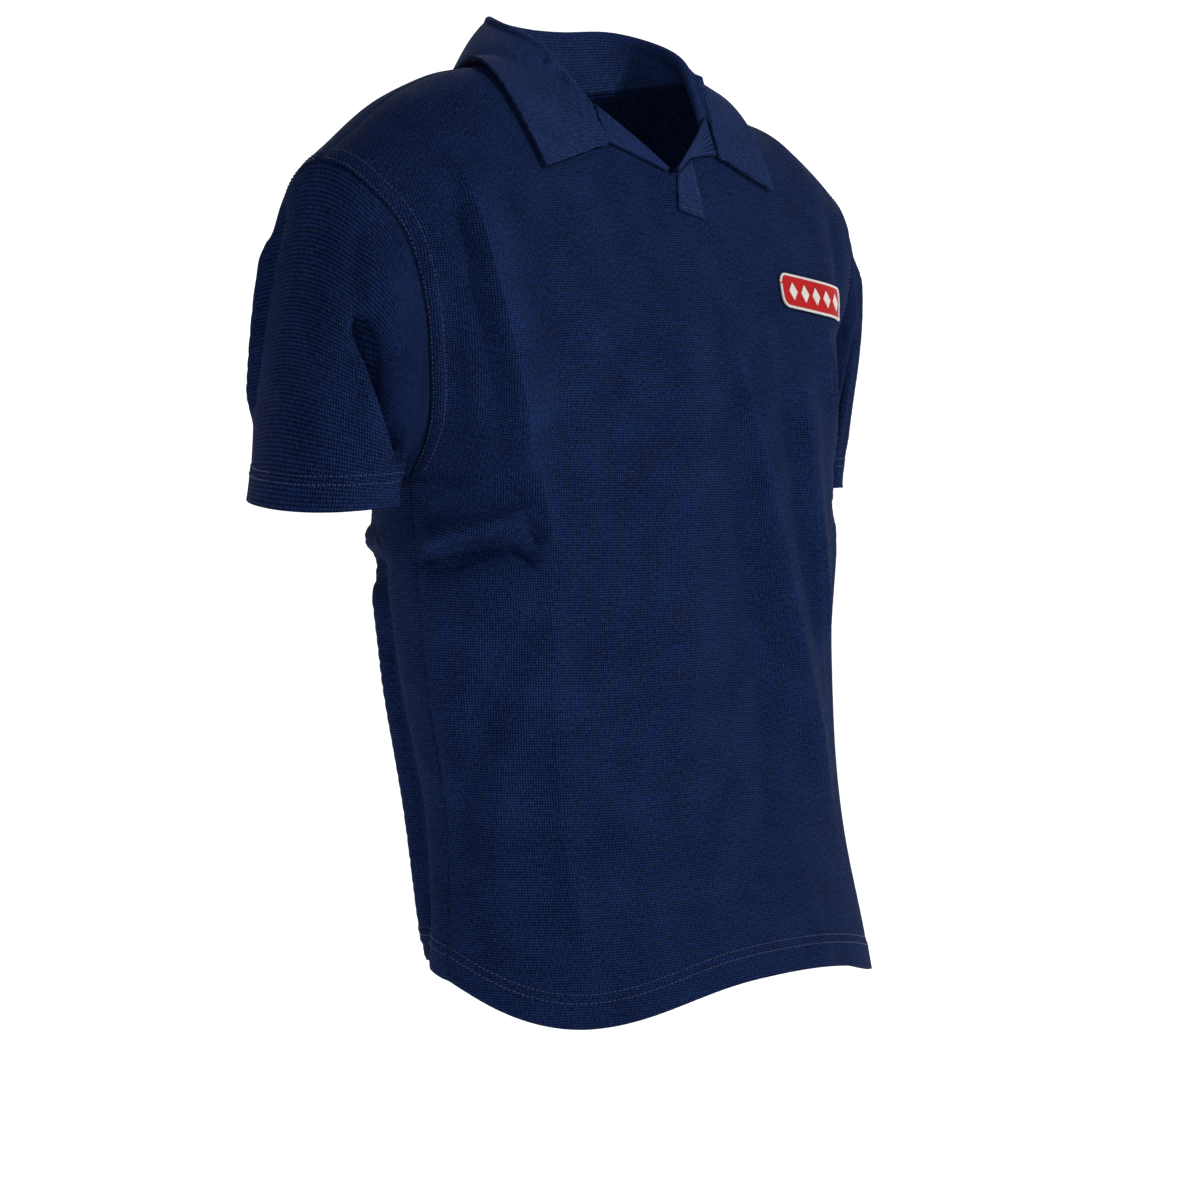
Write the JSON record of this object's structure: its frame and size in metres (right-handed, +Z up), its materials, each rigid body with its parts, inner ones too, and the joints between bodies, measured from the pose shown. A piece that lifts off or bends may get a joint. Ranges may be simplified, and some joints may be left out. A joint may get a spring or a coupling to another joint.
{
  "type": "polo shirt",
  "caption": "Short-sleeved open-collar polo shirt in dark blue pique knit, in its hollow worn form: boxy body, dropped shoulders, spread collar with revers, chest patch.",
  "frame": {"origin": "in the middle of the neck opening, 6 mm above and 12 mm in front of the line between the inner ends of the two shoulder seams, where the garment hangs from the wearer's neck and shoulders", "axes": "+Z up, the front faces -Y, the wearer's left is +X"},
  "size_m": [0.6407, 0.2882, 0.7154],
  "materials": {
    "knit": "matte waffle pique",
    "collar_knit": "matte, smoother",
    "patch_twill": "satin twill with an off-white merrowed edge"
  },
  "bodies": {
    "root": {"front": "knit", "back": "knit", "sleeve_right": "knit", "sleeve_left": "knit", "collar": "collar_knit", "rever_right": "collar_knit", "rever_left": "collar_knit", "placket": "collar_knit", "patch": "patch_twill"}
  },
  "joints": []
}
